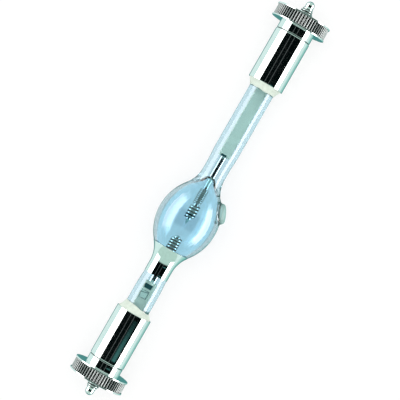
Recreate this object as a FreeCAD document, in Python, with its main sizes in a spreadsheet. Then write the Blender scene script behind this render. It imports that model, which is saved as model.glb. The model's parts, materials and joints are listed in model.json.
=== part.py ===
"""Mercury short-arc lamp, lying on a flat surface as it comes to rest.

The lamp's own axis is called its z axis here. z = 0 is the lamp's middle, halfway between the two caps, and
+z points to the upper cap. The camera side of the foils is -x, and the exhaust stub stands out towards -y.
One seat, lamp_seat, lays the whole lamp down: it rests on the bulb's belly and on the upper thumb nut's rim.
Four more seats, on the lamp's axis, carry what belongs to a cap or to an electrode. Each of those has its own
z axis pointing outwards, so that the two ends are built by the same functions.
"""

import FreeCAD, Part
import math
import os

import Sketcher

# Driving sizes, in millimetres unless the name says count or angle.
SIZES = [
    ("bulb_radius", 12.9, "greatest outside radius of the bulb"),
    ("bulb_arc_radius", 21.4, "radius of the bulb's side, seen from beside the lamp"),
    ("bulb_drop", 10.2, "from the lamp's middle down to the bulb's centre"),
    ("bulb_wall", 2.2, "quartz wall at the bulb's equator"),
    ("neck_radius", 5.1, "outside radius of the necks beside the bulb"),
    ("neck_blend", 13.0, "radius of the hollow blend from bulb to neck"),
    ("neck_reach", 26.5, "from the bulb's centre to the end of each straight neck"),
    ("stem_radius", 5.4, "outside radius of the stems"),
    ("stem_reach", 32.0, "from the bulb's centre to where the stems are full width"),
    ("stem_insert", 12.0, "how far each stem runs inside its cap"),
    ("cavity_arc_radius", 22.95, "radius of the cavity's side"),
    ("cavity_mouth_radius", 2.6, "radius at each end of the cavity's side"),
    ("cavity_mouth_depth", 0.5, "from there to the rod's bore"),
    ("stub_radius", 4.2, "radius of the tipped-off exhaust stub"),
    ("stub_height", 1.8, "how far the stub stands off the bulb"),
    ("stub_root", 1.6, "how deep the stub is fused into the wall"),
    ("stub_round", 0.9, "rounding of the stub's outer edge"),
    ("stub_angle", 25.2, "angle of the stub above the bulb's equator"),
    ("stub_turn", 10.0, "turn of the stub about the lamp's axis, towards -x"),
    ("coat_start", 13.6, "from the bulb's centre to the mirror coat's wide edge"),
    ("coat_length", 12.5, "length of the coat along the lamp"),
    ("coat_thickness", 0.12, "thickness of the coat"),
    ("seal_gap", 0.02, "gap left round each piece that is sealed in the quartz"),
    ("arc_gap", 5.4, "distance between the electrode tips"),
    ("arc_drop", 4.2, "from the bulb's centre down to the middle of the arc"),
    ("upper_rod_radius", 1.1, "upper electrode rod"),
    ("upper_rod_length", 31.5, "upper rod, from its tip to the foil's edge"),
    ("upper_point_length", 2.1, "cone at the upper tip"),
    ("upper_point_radius", 0.2, "flat at the end of the upper cone"),
    ("lower_rod_radius", 1.35, "lower electrode rod"),
    ("lower_rod_length", 22.4, "lower rod, from its tip to the foil's edge"),
    ("lower_point_length", 0.6, "cone at the lower tip"),
    ("lower_point_radius", 0.8, "flat at the end of the lower cone"),
    ("head_wire", 1.25, "wire of the upper head coil"),
    ("head_turns_count", 4.0, "turns of the upper head coil"),
    ("shank_wire", 0.76, "wire of the upper shank coil"),
    ("shank_turns_count", 9.0, "turns of the upper shank coil"),
    ("lower_wire", 1.15, "wire of the lower head coil"),
    ("lower_turns_count", 6.0, "turns of the lower head coil"),
    ("turn_gap", 0.03, "gap between neighbouring turns, and to the next coil"),
    ("weld_lap", 4.6, "how far each rod laps over its foil"),
    ("foil_width", 3.6, "width of the foils"),
    ("foil_thickness", 0.06, "thickness of the foils at their middle"),
    ("foil_edge", 0.024, "thickness of the foils at their feathered edges"),
    ("foil_feather", 0.6, "width of each feathered edge"),
    ("foil_insert", 6.0, "how far each foil runs past the cap's inner edge"),
    ("lead_radius", 0.75, "outer lead rods"),
    ("tab_thickness", 0.15, "weld tabs and patch"),
    ("upper_tab_width", 1.6, "upper weld tab, across the foil"),
    ("upper_tab_length", 1.0, "upper weld tab, along the foil"),
    ("upper_tab_shift", 0.2, "upper weld tab, to the side of the axis"),
    ("lower_tab_width", 2.3, "lower weld tab, across the foil"),
    ("lower_tab_length", 1.9, "lower weld tab, along the foil"),
    ("lower_tab_start", 1.3, "from the foil's edge to the lower weld tab"),
    ("patch_width", 2.4, "lower patch, across the foil"),
    ("patch_length", 3.5, "lower patch, along the foil"),
    ("patch_start", 4.1, "from the foil's edge to the lower patch"),
    ("lower_tab_shift", 0.3, "lower weld tab and patch, to the side of the axis"),
    ("cap_spacing", 108.0, "between the inner edges of the two cap shells"),
    ("shell_radius", 7.75, "outside radius of the cap shells"),
    ("shell_length", 22.7, "length of the cap shells"),
    ("shell_wall", 0.45, "side wall of the shells"),
    ("shell_end", 1.6, "end wall of the shells"),
    ("shell_corner", 0.7, "rounding of the shell's outer corner"),
    ("cement_cone", 2.6, "cement that shows between shell and stem"),
    ("cement_depth", 9.0, "cement inside the shell"),
    ("stud_radius", 3.0, "M6 stud"),
    ("stud_hole_gap", 0.05, "gap round the stud in the shell's end wall"),
    ("stud_flange_radius", 5.8, "flange that holds the stud in the shell"),
    ("stud_flange", 1.5, "thickness of that flange"),
    ("stud_stand", 1.2, "full-width stud that stands out of the nut"),
    ("stud_cone", 2.6, "cone from the stud to its pin"),
    ("pin_radius", 1.8, "round-nosed pin at the stud's end"),
    ("pin_length", 0.95, "straight part of that pin"),
    ("nut_gap", 0.05, "running gap round the stud in the nut"),
    ("hub_radius", 7.6, "hub of the thumb nuts"),
    ("hub_length", 3.8, "length of the hub"),
    ("hub_chamfer", 0.35, "chamfer where the hub seats on the shell"),
    ("head_length", 5.7, "thickness of the nut's head"),
    ("rim_radius", 12.0, "two thin rims of the head"),
    ("rim_thickness", 0.6, "thickness of each rim"),
    ("knurl_radius", 11.65, "top of the knurl between the rims"),
    ("knurl_depth", 0.55, "depth of the knurl's grooves"),
    ("knurl_width", 0.62, "width of each groove at its mouth"),
    ("knurl_root", 0.04, "width of each groove at its root"),
    ("knurl_count", 60, "grooves round each nut"),
    ("bead_radius", 0.8, "drop of mercury"),
]

# The flat-sided wire of the coils, and how far a cutter runs past what it cuts.
STATIONS = 14
WIRE_SIDES = 6
OVERCUT = "1"
OUT = "parts"

doc = FreeCAD.newDocument("short_arc_lamp")
sheet = doc.addObject("Spreadsheet::Sheet", "sizes")


def fill_sheet():
    """One row for each driving size: its meaning, its value, and its alias."""
    for row, (alias, number, meaning) in enumerate(SIZES, start=1):
        sheet.set(f"A{row}", meaning)
        sheet.set(f"B{row}", str(number))
        sheet.setAlias(f"B{row}", alias)
    doc.recompute()


def size(alias):
    """The value of one cell, for shapes that are computed here."""
    return float(sheet.get(alias))


def named(expression):
    """The same formula with the sheet's name before each alias, as an object's expression needs it."""
    words = []
    word = ""
    for letter in expression + " ":
        if letter.isalnum() or letter == "_":
            word += letter
            continue
        words.append(f"sizes.{word}" if word in ALIASES else word)
        words.append(letter)
        word = ""
    return "".join(words).strip()


def number(expression):
    """What a formula on the sheet's aliases comes to now."""
    result = sheet.evalExpression(named(expression))
    return float(getattr(result, "Value", result))


ALIASES = {alias for alias, _, _ in SIZES}
fill_sheet()

# Formulas that several pieces share.
CAP = "cap_spacing / 2"
BULB = "(-bulb_drop)"
UPPER_TIP = "(arc_gap / 2 - bulb_drop - arc_drop)"
LOWER_TIP = "(arc_gap / 2 + bulb_drop + arc_drop)"
NUT_LENGTH = "(hub_length + head_length)"
UPPER_FOIL_LENGTH = f"({CAP} + foil_insert - {UPPER_TIP} - upper_rod_length)"
LOWER_FOIL_LENGTH = f"({CAP} + foil_insert - {LOWER_TIP} - lower_rod_length)"

# The floor line touches the bulb's arc and the far rim of the upper nut.
ARC_CENTRE = "(bulb_radius - bulb_arc_radius)"
RIM_RISE = f"(rim_radius - {ARC_CENTRE})"
RIM_RUN = f"({CAP} + shell_length + {NUT_LENGTH} + bulb_drop)"
LEAN = f"(atan({RIM_RUN} / {RIM_RISE}) - acos(bulb_arc_radius / sqrt({RIM_RISE}^2 + {RIM_RUN}^2)))"
HEIGHT = f"({ARC_CENTRE} * cos({LEAN}) - bulb_drop * sin({LEAN}) + bulb_arc_radius)"


def seat(name, expression):
    """A named place on the lamp, which other pieces are placed by."""
    place = doc.addObject("App::Placement", name)
    place.setExpression("Placement", named(expression))
    return place


def along(z, turn="0"):
    """A placement on the lamp's axis, turned about x when it faces the lower end."""
    return f"placement(vector(0; 0; {z}); rotation(vector(1; 0; 0); {turn}))"


def set_on(piece, *places):
    """Places a piece by the seats and placements named, the outermost first."""
    terms = [f"{p}.Placement" if p.isidentifier() else p for p in places]
    piece.setExpression("Placement", named(" * ".join(terms)))
    return piece


def new_body(label, *places):
    body = doc.addObject("PartDesign::Body", label)
    body.Label = label
    return set_on(body, *places) if places else body


def origin_plane(body, role):
    return next(f for f in body.Origin.OriginFeatures if f.Role == role)


def new_sketch(body, name, role):
    sketch = body.newObject("Sketcher::SketchObject", name)
    sketch.AttachmentSupport = (origin_plane(body, role), [""])
    sketch.MapMode = "FlatFace"
    return sketch


def bind(sketch, constraint, expression):
    """Adds a constraint whose value follows a formula."""
    index = sketch.addConstraint(constraint)
    sketch.setExpression(f"Constraints[{index}]", named(expression))


def arc_between(start, end, radius):
    """The shorter arc from start to end. A positive radius turns it left, a negative one right."""
    chord = end.sub(start)
    half = chord.Length / 2
    rise = math.sqrt(radius * radius - half * half)
    side = FreeCAD.Vector(-chord.y, chord.x, 0).normalize()
    centre = start.add(end).multiply(0.5).add(side.multiply(rise if radius > 0 else -rise))
    first = math.atan2(start.y - centre.y, start.x - centre.x)
    last = math.atan2(end.y - centre.y, end.x - centre.x)
    if radius < 0:
        first, last = last, first
    return Part.ArcOfCircle(Part.Circle(centre, FreeCAD.Vector(0, 0, 1), abs(radius)), first, last)


def outline(sketch, corners):
    """A closed outline. A corner is (x, y), or (x, y, radius) where an arc runs from it to the next corner.

    Both coordinates are formulas and are held by constraints. The radius is a formula too, and a minus sign
    before it makes the arc turn right.
    """
    points = [FreeCAD.Vector(number(c[0]), number(c[1]), 0) for c in corners]
    ends = []
    for index, corner in enumerate(corners):
        start = points[index]
        end = points[(index + 1) % len(points)]
        if len(corner) == 2:
            edge = sketch.addGeometry(Part.LineSegment(start, end))
            ends.append((edge, 1, 2))
            continue
        radius = number(corner[2])
        edge = sketch.addGeometry(arc_between(start, end, radius))
        ends.append((edge, 1, 2) if radius > 0 else (edge, 2, 1))
    for index, corner in enumerate(corners):
        edge, first, last = ends[index]
        after, after_first, _ = ends[(index + 1) % len(ends)]
        sketch.addConstraint(Sketcher.Constraint("Coincident", edge, last, after, after_first))
        if corner[0] == "0":
            sketch.addConstraint(Sketcher.Constraint("PointOnObject", edge, first, -2))
        else:
            bind(sketch, Sketcher.Constraint("DistanceX", -1, 1, edge, first, points[index].x), corner[0])
        bind(sketch, Sketcher.Constraint("DistanceY", -1, 1, edge, first, points[index].y), corner[1])
        if len(corner) == 3:
            radius = corner[2].lstrip("-")
            bind(sketch, Sketcher.Constraint("Radius", edge, abs(number(radius))), radius)


def turned(label, corners, *places):
    """A body turned about its z axis from an outline of radius and height."""
    body = new_body(label, *places)
    sketch = new_sketch(body, f"{label}_outline", "XZ_Plane")
    outline(sketch, corners)
    turn = body.newObject("PartDesign::Revolution", f"{label}_turn")
    turn.Profile = sketch
    turn.ReferenceAxis = (sketch, ["V_Axis"])
    turn.Angle = 360
    return body


def block(name, width, length, thickness, front, shift, start, *places):
    """A flat block that lies across the foil: front is its -x face and start its lower end along z."""
    box = doc.addObject("Part::Box", name)
    box.setExpression("Length", named(thickness))
    box.setExpression("Width", named(width))
    box.setExpression("Height", named(length))
    corner = f"placement(vector({front}; {shift} - ({width}) / 2; {start}); rotation(vector(0; 0; 1); 0))"
    return set_on(box, *places, corner)


def bore(name, radius, start, length, half, *places):
    """A round cutter on the axis, or its +x half where a rod is ground flat to take the foil."""
    drill = doc.addObject("Part::Cylinder", name)
    drill.setExpression("Radius", named(radius))
    drill.setExpression("Height", named(length))
    drill.Angle = 180 if half else 360
    turn = "-90" if half else "0"
    return set_on(drill, *places, f"placement(vector(0; 0; {start}); rotation(vector(0; 0; 1); {turn}))")


def seats():
    """The lamp's seat on the floor, the two cap edges and the two electrode tips."""
    seat("lamp_seat", f"placement(vector(0; 0; {HEIGHT}); rotation(vector(0; 1; 0); 90 deg + {LEAN}))")
    seat("upper_end", along(CAP))
    seat("lower_end", along(f"-{CAP}", "180"))
    seat("upper_tip", along(UPPER_TIP))
    seat("lower_tip", along(f"-{LOWER_TIP}", "180"))


def glass_outline(growth):
    """Stem, neck, blend, bulb and back again, grown outwards by a coat's thickness where one is given."""
    across = f"(neck_radius + neck_blend - {ARC_CENTRE})"
    reach = "(bulb_arc_radius + neck_blend)"
    neck_end = f"sqrt({reach}^2 - {across}^2)"
    share = f"((bulb_arc_radius + {growth}) / {reach})"
    side = f"{ARC_CENTRE} + {share} * {across}"
    rise = f"{share} * {neck_end}"
    neck = f"neck_radius + {growth}"
    stem = f"stem_radius + {growth}"
    blend = f"-(neck_blend - {growth})"
    end = f"({CAP} + stem_insert)"
    return [
        ("0", f"-{end}"),
        (stem, f"-{end}"),
        (stem, f"{BULB} - stem_reach"),
        (neck, f"{BULB} - neck_reach"),
        (neck, f"{BULB} - {neck_end}", blend),
        (side, f"{BULB} - {rise}", f"bulb_arc_radius + {growth}"),
        (side, f"{BULB} + {rise}", blend),
        (neck, f"{BULB} + {neck_end}"),
        (neck, f"{BULB} + neck_reach"),
        (stem, f"{BULB} + stem_reach"),
        (stem, end),
        ("0", end),
    ]


def cavity_outline():
    """The hollow of the bulb, closed by a short cone on each rod's bore."""
    widest = "(bulb_radius - bulb_wall)"
    rise = f"sqrt(cavity_arc_radius^2 - (cavity_arc_radius - {widest} + cavity_mouth_radius)^2)"
    return [
        ("0", f"{BULB} - {rise} - cavity_mouth_depth"),
        ("lower_rod_radius + seal_gap", f"{BULB} - {rise} - cavity_mouth_depth"),
        ("cavity_mouth_radius", f"{BULB} - {rise}", "cavity_arc_radius"),
        ("cavity_mouth_radius", f"{BULB} + {rise}"),
        ("upper_rod_radius + seal_gap", f"{BULB} + {rise} + cavity_mouth_depth"),
        ("0", f"{BULB} + {rise} + cavity_mouth_depth"),
    ]


def exhaust_stub():
    """A short round-edged disc square to the bulb's side, where the exhaust tube was melted off."""
    base = f"(bulb_arc_radius - stub_root)"
    foot = (
        f"placement(vector(0; -({ARC_CENTRE} + {base} * cos(stub_angle)); {BULB} + {base} * sin(stub_angle));"
        " rotation(vector(1; 0; 0); 90 - stub_angle))"
    )
    around = "placement(vector(0; 0; 0); rotation(vector(0; 0; 1); -stub_turn))"
    top = "stub_root + stub_height"
    corners = [
        ("0", "0"),
        ("stub_radius", "0"),
        ("stub_radius", f"{top} - stub_round", "stub_round"),
        ("stub_radius - stub_round", top),
        ("0", top),
    ]
    return turned("exhaust_stub", corners, around, foot)


def sealed_hollows(end, rod_radius, rod_length, foil_length):
    """Cutters for one end's rod, foil and lead, each larger than its piece by the seal gap."""
    tip = f"{end}_tip"
    wide = f"{rod_radius} + seal_gap"
    foil_end = f"{rod_length} + {foil_length}"
    lap = "weld_lap + seal_gap"
    lead = "lead_radius + seal_gap"
    lead_length = f"stem_insert - foil_insert + {OVERCUT}"
    slot = "foil_thickness + 2 * seal_gap"
    return [
        bore(f"{end}_rod_bore", wide, "0", rod_length, False, tip),
        bore(f"{end}_lap_bore", wide, rod_length, lap, True, tip),
        bore(f"{end}_lead_bore", lead, foil_end, lead_length, False, tip),
        bore(f"{end}_lead_lap_bore", lead, f"{foil_end} - ({lap})", lap, True, tip),
        block(
            f"{end}_foil_slot",
            "foil_width + 2 * seal_gap",
            f"{foil_length} + 2 * seal_gap",
            slot,
            "-foil_thickness - seal_gap",
            "0",
            f"{rod_length} - seal_gap",
            tip,
        ),
    ]


def tab(name, width, length, shift, start, growth, tip):
    """A weld tab on the foil's -x face, or the pocket that holds it where a growth is given."""
    return block(
        name,
        f"{width} + 2 * {growth}",
        f"{length} + 2 * {growth}",
        f"tab_thickness + {growth}",
        f"-foil_thickness - tab_thickness - {growth}",
        shift,
        f"{start} - {growth}",
        *tip,
    )


def tabs(suffix, growth, lamp):
    """The three weld tabs, on the lamp or, without it, as cutters in the lamp's own frame."""
    upper = [*lamp, "upper_tip"]
    lower = [*lamp, "lower_tip"]
    lower_shift = "-lower_tab_shift"
    return [
        tab(
            f"upper_weld_tab{suffix}",
            "upper_tab_width",
            "upper_tab_length",
            "upper_tab_shift",
            "upper_rod_length",
            growth,
            upper,
        ),
        tab(
            f"lower_weld_tab{suffix}",
            "lower_tab_width",
            "lower_tab_length",
            lower_shift,
            "lower_rod_length + lower_tab_start",
            growth,
            lower,
        ),
        tab(
            f"lower_patch{suffix}",
            "patch_width",
            "patch_length",
            lower_shift,
            "lower_rod_length + patch_start",
            growth,
            lower,
        ),
    ]


def quartz_envelope():
    """Bulb, stems and stub fused, then hollowed for the fill and for everything sealed in the stems."""
    blank = turned("glass_blank", glass_outline("0"))
    fused = doc.addObject("Part::Fuse", "fused_glass")
    fused.Base = blank
    fused.Tool = exhaust_stub()
    hollows = [turned("glass_cavity", cavity_outline())]
    hollows += sealed_hollows("upper", "upper_rod_radius", "upper_rod_length", UPPER_FOIL_LENGTH)
    hollows += sealed_hollows("lower", "lower_rod_radius", "lower_rod_length", LOWER_FOIL_LENGTH)
    hollows += tabs("_pocket", "seal_gap", [])
    inside = doc.addObject("Part::MultiFuse", "glass_hollows")
    inside.Shapes = hollows
    envelope = doc.addObject("Part::Cut", "quartz_envelope")
    envelope.Base = fused
    envelope.Tool = inside
    return [set_on(envelope, "lamp_seat")]


def mirror_coat():
    """A thin skin on the lower neck: the glass grown by the coat, less the glass, within one band."""
    skin = doc.addObject("Part::Cut", "coat_skin")
    skin.Base = turned("coat_blank", glass_outline("coat_thickness"))
    skin.Tool = turned("coat_form", glass_outline("0"))
    band = bore(
        "coat_band",
        "bulb_radius + coat_thickness",
        f"{BULB} - coat_start - coat_length",
        "coat_length",
        False,
    )
    coat = doc.addObject("Part::Common", "mirror_coat")
    coat.Base = skin
    coat.Tool = band
    return [set_on(coat, "lamp_seat")]


def ground_flat(body, name, start, length, radius):
    """Takes the -x half off one end of a rod, so that the foil lies on its flat."""
    sketch = new_sketch(body, f"{name}_flat_outline", "XZ_Plane")
    outline(
        sketch,
        [
            ("0", start),
            ("0", f"{start} + {length}"),
            (f"-2 * {radius}", f"{start} + {length}"),
            (f"-2 * {radius}", start),
        ],
    )
    flat = body.newObject("PartDesign::Pocket", f"{name}_flat")
    flat.Profile = sketch
    flat.Type = "ThroughAll"
    flat.SideType = "Symmetric"


def electrode_rod(end, length):
    """A tungsten rod with a turned point, ground flat where the foil is welded on."""
    radius = f"{end}_rod_radius"
    label = f"{end}_electrode_rod"
    whole = f"{length} + weld_lap"
    corners = [
        ("0", "0"),
        (f"{end}_point_radius", "0"),
        (radius, f"{end}_point_length"),
        (radius, whole),
        ("0", whole),
    ]
    rod = turned(label, corners, "lamp_seat", f"{end}_tip")
    ground_flat(rod, label, length, f"weld_lap + {OVERCUT}", radius)
    return rod


def lead_rod(end):
    """The outer lead, from its lap on the foil to the stud's flange."""
    label = f"{end}_lead_rod"
    start = "(foil_insert - weld_lap)"
    stop = "shell_length - shell_end - stud_flange"
    corners = [
        ("0", start),
        ("lead_radius", start),
        ("lead_radius", stop),
        ("0", stop),
    ]
    lead = turned(label, corners, "lamp_seat", f"{end}_end")
    ground_flat(lead, label, f"{start} - {OVERCUT}", f"weld_lap + {OVERCUT}", "lead_radius")
    return lead


def foil(end, rod_length, foil_length):
    """A molybdenum ribbon with feathered edges, its flat side on the rods."""
    label = f"{end}_foil"
    body = new_body(label, "lamp_seat", f"{end}_tip")
    sketch = new_sketch(body, f"{label}_section", "XY_Plane")
    edge = "foil_width / 2"
    shoulder = "(foil_width / 2 - foil_feather)"
    near = "-(foil_thickness - foil_edge) / 2"
    far = "-(foil_thickness + foil_edge) / 2"
    outline(
        sketch,
        [
            (near, f"-{edge}"),
            ("0", f"-{shoulder}"),
            ("0", shoulder),
            (near, edge),
            (far, edge),
            ("-foil_thickness", shoulder),
            ("-foil_thickness", f"-{shoulder}"),
            (far, f"-{edge}"),
        ],
    )
    sketch.setExpression("AttachmentOffset.Base.z", named(rod_length))
    pad = body.newObject("PartDesign::Pad", f"{label}_length")
    pad.Profile = sketch
    pad.setExpression("Length", named(foil_length))
    return body


def winding(label, rod, wire, turns, start, tip):
    """Close turns of wire round a rod, as flat-sided wire that is bent at even stations.

    The wire's inner side clears the rod between two stations as well as at them.
    """
    pitch = size(wire) + size("turn_gap")
    half = size(wire) / 2
    middle = size(rod) / math.cos(math.pi / STATIONS) + half
    count = round(size(turns) * STATIONS)
    rings = []
    for station in range(count + 1):
        angle = 2 * math.pi * station / STATIONS
        height = number(start) + half + pitch * station / STATIONS
        ring = []
        for side in range(WIRE_SIDES):
            around = 2 * math.pi * (side + 0.5) / WIRE_SIDES
            radius = middle + half * math.cos(around)
            ring.append(
                FreeCAD.Vector(
                    radius * math.cos(angle), radius * math.sin(angle), height + half * math.sin(around)
                )
            )
        rings.append(ring)
    faces = [Part.Face(Part.makePolygon(ring + ring[:1])) for ring in (rings[0], rings[-1])]
    for low, high in zip(rings, rings[1:]):
        for side in range(WIRE_SIDES):
            after = (side + 1) % WIRE_SIDES
            for corners in (
                (low[side], low[after], high[after]),
                (low[side], high[after], high[side]),
            ):
                faces.append(Part.Face(Part.makePolygon([*corners, corners[0]])))
    solid = Part.makeSolid(Part.makeShell(faces))
    coil = doc.addObject("Part::Feature", label)
    coil.Shape = solid if solid.Volume > 0 else solid.reversed()
    return set_on(coil, "lamp_seat", tip)


def electrodes():
    """Rods, coils, foils, leads and tabs of both ends."""
    upper_head_start = "upper_point_length"
    upper_shank_start = f"({upper_head_start} + head_turns_count * (head_wire + turn_gap) + head_wire + turn_gap)"
    pieces = [
        electrode_rod("upper", "upper_rod_length"),
        electrode_rod("lower", "lower_rod_length"),
        foil("upper", "upper_rod_length", UPPER_FOIL_LENGTH),
        foil("lower", "lower_rod_length", LOWER_FOIL_LENGTH),
        lead_rod("upper"),
        lead_rod("lower"),
        winding(
            "upper_head_coil", "upper_rod_radius", "head_wire", "head_turns_count", upper_head_start, "upper_tip"
        ),
        winding(
            "upper_shank_coil",
            "upper_rod_radius",
            "shank_wire",
            "shank_turns_count",
            upper_shank_start,
            "upper_tip",
        ),
        winding(
            "lower_head_coil",
            "lower_rod_radius",
            "lower_wire",
            "lower_turns_count",
            "lower_point_length",
            "lower_tip",
        ),
    ]
    return pieces + tabs("", "0", ["lamp_seat"])


def cap_shell(end):
    """A turned sleeve with an end wall, which the stud passes through."""
    hole = "stud_radius + stud_hole_gap"
    bore_radius = "shell_radius - shell_wall"
    corners = [
        (bore_radius, "0"),
        ("shell_radius", "0"),
        ("shell_radius", "shell_length - shell_corner", "shell_corner"),
        ("shell_radius - shell_corner", "shell_length"),
        (hole, "shell_length"),
        (hole, "shell_length - shell_end"),
        (bore_radius, "shell_length - shell_end"),
    ]
    return turned(f"{end}_cap_shell", corners, "lamp_seat", f"{end}_end")


def cement(end):
    """Cement that fills the shell's mouth and ends in a cone on the stem."""
    bore_radius = "shell_radius - shell_wall"
    corners = [
        ("stem_radius", "-cement_cone"),
        (bore_radius, "0"),
        (bore_radius, "cement_depth"),
        ("stem_radius", "cement_depth"),
    ]
    return turned(f"{end}_cement", corners, "lamp_seat", f"{end}_end")


def stud(end):
    """Flange, M6 shank, cone and round-nosed pin, turned in one."""
    thread_end = f"(shell_length + {NUT_LENGTH} + stud_stand)"
    pin_start = f"({thread_end} + stud_cone)"
    wall = "shell_length - shell_end"
    corners = [
        ("0", f"{wall} - stud_flange"),
        ("stud_flange_radius", f"{wall} - stud_flange"),
        ("stud_flange_radius", wall),
        ("stud_radius", wall),
        ("stud_radius", thread_end),
        ("pin_radius", pin_start),
        ("pin_radius", f"{pin_start} + pin_length", "pin_radius"),
        ("0", f"{pin_start} + pin_length + pin_radius"),
    ]
    return turned(f"{end}_stud", corners, "lamp_seat", f"{end}_end")


def thumb_nut(end):
    """Hub, two thin rims and a knurl of V grooves between them."""
    label = f"{end}_thumb_nut"
    hole = "stud_radius + nut_gap"
    seat_z = "shell_length"
    head = f"{seat_z} + hub_length"
    top = f"{head} + head_length"
    corners = [
        (hole, seat_z),
        ("hub_radius - hub_chamfer", seat_z),
        ("hub_radius", f"{seat_z} + hub_chamfer"),
        ("hub_radius", head),
        ("rim_radius", head),
        ("rim_radius", f"{head} + rim_thickness"),
        ("knurl_radius", f"{head} + rim_thickness"),
        ("knurl_radius", f"{top} - rim_thickness"),
        ("rim_radius", f"{top} - rim_thickness"),
        ("rim_radius", top),
        (hole, top),
    ]
    body = turned(label, corners, "lamp_seat", f"{end}_end")
    sketch = new_sketch(body, f"{label}_groove", "XY_Plane")
    outline(
        sketch,
        [
            (f"knurl_radius + {OVERCUT}", "-knurl_width / 2"),
            (f"knurl_radius + {OVERCUT}", "knurl_width / 2"),
            ("knurl_radius", "knurl_width / 2"),
            ("knurl_radius - knurl_depth", "knurl_root / 2"),
            ("knurl_radius - knurl_depth", "-knurl_root / 2"),
            ("knurl_radius", "-knurl_width / 2"),
        ],
    )
    sketch.setExpression("AttachmentOffset.Base.z", named(f"{head} + rim_thickness"))
    groove = body.newObject("PartDesign::Pocket", f"{label}_first_groove")
    groove.Profile = sketch
    groove.Reversed = True
    groove.setExpression("Length", named("head_length - 2 * rim_thickness"))
    doc.recompute()
    knurl = body.newObject("PartDesign::PolarPattern", f"{label}_knurl")
    knurl.Originals = [groove]
    knurl.Axis = (sketch, ["N_Axis"])
    knurl.Angle = 360
    knurl.setExpression("Occurrences", named("knurl_count"))
    body.Tip = knurl
    return body


def mercury_bead():
    """One drop in the bulb's lowest place, under the belly's thickest part."""
    bead = doc.addObject("Part::Sphere", "mercury_bead")
    bead.setExpression("Radius", named("bead_radius"))
    reach = "(cavity_arc_radius - bead_radius - seal_gap)"
    across = f"bulb_radius - bulb_wall - cavity_arc_radius + {reach} * cos({LEAN})"
    place = f"placement(vector({across}; 0; {BULB} + {reach} * sin({LEAN})); rotation(vector(0; 0; 1); 0))"
    return [set_on(bead, "lamp_seat", place)]


def build():
    """Every labelled piece of the lamp."""
    seats()
    pieces = quartz_envelope() + mirror_coat() + electrodes() + mercury_bead()
    for end in ("upper", "lower"):
        pieces += [cap_shell(end), cement(end), stud(end), thumb_nut(end)]
    doc.recompute()
    return pieces


def check(pieces):
    """Stops if any object failed or any piece isn't one valid solid."""
    for item in doc.Objects:
        bad = [word for word in item.State if word in ("Invalid", "Error")]
        if bad:
            raise RuntimeError(f"{item.Label}: {item.State}")
    for piece in pieces:
        shape = piece.Shape
        if shape.isNull() or not shape.isValid() or len(shape.Solids) != 1 or shape.Volume <= 0:
            raise RuntimeError(f"{piece.Label} is not one valid solid")


def export(pieces):
    """Writes each piece to its own file, named by its label."""
    os.makedirs(OUT, exist_ok=True)
    for piece in pieces:
        piece.Shape.exportStep(os.path.join(OUT, f"{piece.Label}.step"))
        print(f"{piece.Label}: {piece.Shape.Volume:.2f} mm3, {len(piece.Shape.Faces)} faces")


lamp = build()
check(lamp)
export(lamp)
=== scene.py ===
"""Mercury short-arc lamp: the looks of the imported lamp, with its floor, light and camera.

The pieces are drawn in millimetres on the lamp's own axes and then laid down by its seat. The lamp's z axis
runs along it, z = 0 is its middle and +z points to the upper cap. The camera side is -x, the stub at -y.
"""

import json
import math

import bmesh
import bpy
from bpy.props import FloatProperty, FloatVectorProperty, IntProperty, PointerProperty
from mathutils import Matrix, Vector


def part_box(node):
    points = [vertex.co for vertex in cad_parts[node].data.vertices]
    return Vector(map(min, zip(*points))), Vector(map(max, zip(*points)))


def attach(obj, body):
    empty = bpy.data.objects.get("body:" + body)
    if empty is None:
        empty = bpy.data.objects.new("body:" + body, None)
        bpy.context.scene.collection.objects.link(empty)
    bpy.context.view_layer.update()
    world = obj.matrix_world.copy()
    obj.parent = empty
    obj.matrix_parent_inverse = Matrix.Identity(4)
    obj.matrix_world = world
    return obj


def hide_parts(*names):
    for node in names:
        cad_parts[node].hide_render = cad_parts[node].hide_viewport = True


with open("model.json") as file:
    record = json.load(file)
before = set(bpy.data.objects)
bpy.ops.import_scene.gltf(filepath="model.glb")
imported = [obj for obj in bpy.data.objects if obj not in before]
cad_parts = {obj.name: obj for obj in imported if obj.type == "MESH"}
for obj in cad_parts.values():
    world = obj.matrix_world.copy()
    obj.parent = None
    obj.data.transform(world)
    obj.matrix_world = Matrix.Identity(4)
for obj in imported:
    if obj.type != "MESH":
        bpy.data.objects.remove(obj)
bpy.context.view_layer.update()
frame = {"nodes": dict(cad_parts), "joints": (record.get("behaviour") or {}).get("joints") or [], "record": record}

bl_info = {
    "name": "Short-arc lamp",
    "version": (1, 0, 0),
    "blender": (4, 5, 0),
    "location": "3D View > Sidebar > Short-arc lamp",
    "description": "Dresses a quartz short-arc lamp with glass, metal and light",
    "category": "Add Mesh",
}

MM = 0.001
PHOTO_PIXELS = 400
TURN = 2 * math.pi
ENDS = ("upper", "lower")


def lamp_seat():
    """The lamp's own axes in the row frame, from its mounts and its upper nut's slide."""
    mounts = {m["name"]: Vector(m["pos_m"]) for m in frame["record"]["mounts"]}
    joints = {j["name"]: Vector(j["axis"]) for j in frame["joints"]}
    along = joints["upper_nut_slide"].normalized()
    side = Vector((0, 1, 0))
    down = side.cross(along)
    middle = (mounts["upper_stud_end"] + mounts["lower_stud_end"]) / 2
    return Matrix.Translation(middle) @ Matrix((down, side, along)).transposed().to_4x4()


LAMP = lamp_seat()


def number(name, default, description, **kind):
    return FloatProperty(name=name, description=description, default=default, **kind)


def length(name, millimetres, description):
    """A size that a user may change. It is kept in metres, as Blender's own sizes are."""
    return number(name, millimetres * MM, description, min=0.0, unit="LENGTH", precision=5)


def angle(name, degrees, description):
    return number(name, math.radians(degrees), description, subtype="ANGLE")


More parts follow.
